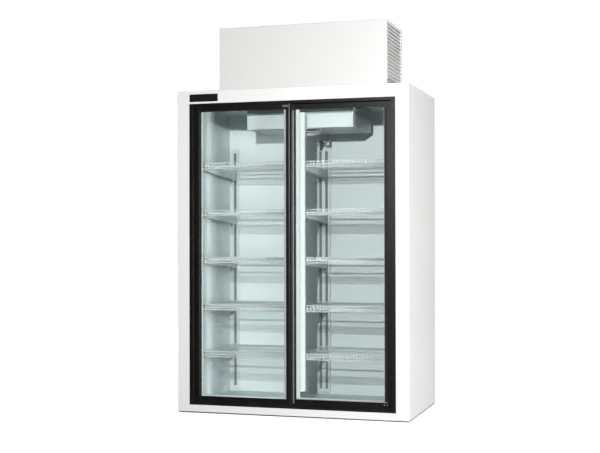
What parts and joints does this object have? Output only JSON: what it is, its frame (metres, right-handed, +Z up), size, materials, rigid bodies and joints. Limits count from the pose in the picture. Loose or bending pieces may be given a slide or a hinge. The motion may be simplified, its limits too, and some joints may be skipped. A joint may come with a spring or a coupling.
{
  "type": "glass door merchandiser refrigerator",
  "caption": "Upright merchandiser refrigerator with sliding glass doors, lit wire-shelf bays, a ceiling unit cooler and a louvred machine compartment on the roof.",
  "frame": {"origin": "on the floor, under the middle of the cabinet", "axes": "+X to the right along the doors, +Y from the doors to the back, +Z up"},
  "size_m": [1.422, 0.813, 2.305],
  "materials": {
    "white_paint": "gloss",
    "galvanised": "satin",
    "foam": "matte",
    "liner": "satin",
    "glide_steel": "satin",
    "black_aluminium": "satin",
    "black_rubber": "matte",
    "clear_glass": "polished",
    "grey_plastic": "matte",
    "nylon": "satin",
    "bright_aluminium": "satin",
    "lamp_white": "gloss",
    "diffuser": "satin",
    "tube_glass": "satin",
    "black_plastic": "matte",
    "shelf_coating": "gloss",
    "standard_steel": "satin",
    "fin_aluminium": "satin",
    "motor_steel": "satin",
    "fan_aluminium": "satin",
    "hose_plastic": "satin",
    "compressor_black": "gloss"
  },
  "bodies": {
    "cabinet": {"outer_shell": "white_paint", "rear_panel": "galvanised", "base_pan": "galvanised", "foam_core": "foam", "inner_liner": "liner", "levelling_glides": "glide_steel", "frame_head": "black_aluminium", "frame_sill": "black_aluminium", "frame_left_jamb": "black_aluminium", "frame_right_jamb": "black_aluminium", "jamb_bumpers": "black_rubber", "lamp_housing": "lamp_white", "lamp_diffuser": "diffuser", "lamp_tube": "tube_glass", "lamp_end_caps": "black_plastic", "shelf_standards": "standard_steel", "shelf_arms": "standard_steel", "left_shelf_1": "shelf_coating", "left_shelf_2": "shelf_coating", "left_shelf_3": "shelf_coating", "left_shelf_4": "shelf_coating", "left_shelf_5": "shelf_coating", "right_shelf_1": "shelf_coating", "right_shelf_2": "shelf_coating", "right_shelf_3": "shelf_coating", "right_shelf_4": "shelf_coating", "right_shelf_5": "shelf_coating", "evaporator_housing": "white_paint", "evaporator_coil": "fin_aluminium", "evaporator_motor": "motor_steel", "fan_guard": "shelf_coating", "drain_elbow": "black_plastic", "drain_hose": "hose_plastic", "hood_front": "white_paint", "hood_top": "white_paint", "hood_left_louvres": "white_paint", "hood_right_louvres": "white_paint", "hood_rear": "galvanised", "condensing_base": "galvanised", "compressor": "compressor_black", "condenser_coil": "fin_aluminium", "condenser_motor": "motor_steel"},
    "left_door": {"left_door_stiles": "black_aluminium", "left_door_rails": "black_aluminium", "left_door_glass": "clear_glass", "left_door_inner_frame": "grey_plastic", "left_door_hold_open_clip": "grey_plastic"},
    "left_door_left_roller": {"left_door_left_roller": "nylon"},
    "left_door_right_roller": {"left_door_right_roller": "nylon"},
    "right_door": {"right_door_stiles": "black_aluminium", "right_door_rails": "black_aluminium", "right_door_glass": "clear_glass", "right_door_inner_frame": "grey_plastic", "right_door_interlock": "bright_aluminium"},
    "right_door_left_roller": {"right_door_left_roller": "nylon"},
    "right_door_right_roller": {"right_door_right_roller": "nylon"},
    "evaporator_fan": {"evaporator_fan": "fan_aluminium"},
    "condenser_fan": {"condenser_fan": "fan_aluminium"},
    "cold_control_knob": {"cold_control_knob": "black_plastic"},
    "light_switch": {"light_switch": "black_plastic"}
  },
  "joints": [
    {"name": "left_door_slide", "type": "slide", "parent": "cabinet", "child": "left_door", "axis": [1, 0, 0], "range_m": [0, 0.598]},
    {"name": "left_door_left_roller_spin", "type": "hinge", "parent": "left_door", "child": "left_door_left_roller", "pos_m": [-0.547, -0.3855, 0.0666], "axis": [0, 1, 0], "continuous": true},
    {"name": "left_door_right_roller_spin", "type": "hinge", "parent": "left_door", "child": "left_door_right_roller", "pos_m": [-0.051, -0.3855, 0.0666], "axis": [0, 1, 0], "continuous": true},
    {"name": "right_door_slide", "type": "slide", "parent": "cabinet", "child": "right_door", "axis": [-1, 0, 0], "range_m": [0, 0.598]},
    {"name": "right_door_left_roller_spin", "type": "hinge", "parent": "right_door", "child": "right_door_left_roller", "pos_m": [0.051, -0.3535, 0.0666], "axis": [0, 1, 0], "continuous": true},
    {"name": "right_door_right_roller_spin", "type": "hinge", "parent": "right_door", "child": "right_door_right_roller", "pos_m": [0.547, -0.3535, 0.0666], "axis": [0, 1, 0], "continuous": true},
    {"name": "evaporator_fan_spin", "type": "hinge", "parent": "cabinet", "child": "evaporator_fan", "pos_m": [0, -0.0765, 1.713], "axis": [0, 0, 1], "continuous": true},
    {"name": "condenser_fan_spin", "type": "hinge", "parent": "cabinet", "child": "condenser_fan", "pos_m": [0.442, -0.204, 2.088], "axis": [1, 0, 0], "continuous": true},
    {"name": "cold_control_turn", "type": "hinge", "parent": "cabinet", "child": "cold_control_knob", "pos_m": [-0.3345, -0.1065, 1.79], "axis": [-1, 0, 0], "range_deg": [-135, 135]},
    {"name": "light_switch_rock", "type": "hinge", "parent": "cabinet", "child": "light_switch", "pos_m": [-0.33325, -0.0365, 1.79], "axis": [0, 1, 0], "range_deg": [-10, 10]}
  ],
  "couplings": [
    {"joint": "left_door_left_roller_spin", "follows": "left_door_slide", "rad_per_m": 66.667},
    {"joint": "left_door_right_roller_spin", "follows": "left_door_slide", "rad_per_m": 66.667},
    {"joint": "right_door_left_roller_spin", "follows": "right_door_slide", "rad_per_m": -66.667},
    {"joint": "right_door_right_roller_spin", "follows": "right_door_slide", "rad_per_m": -66.667}
  ]
}
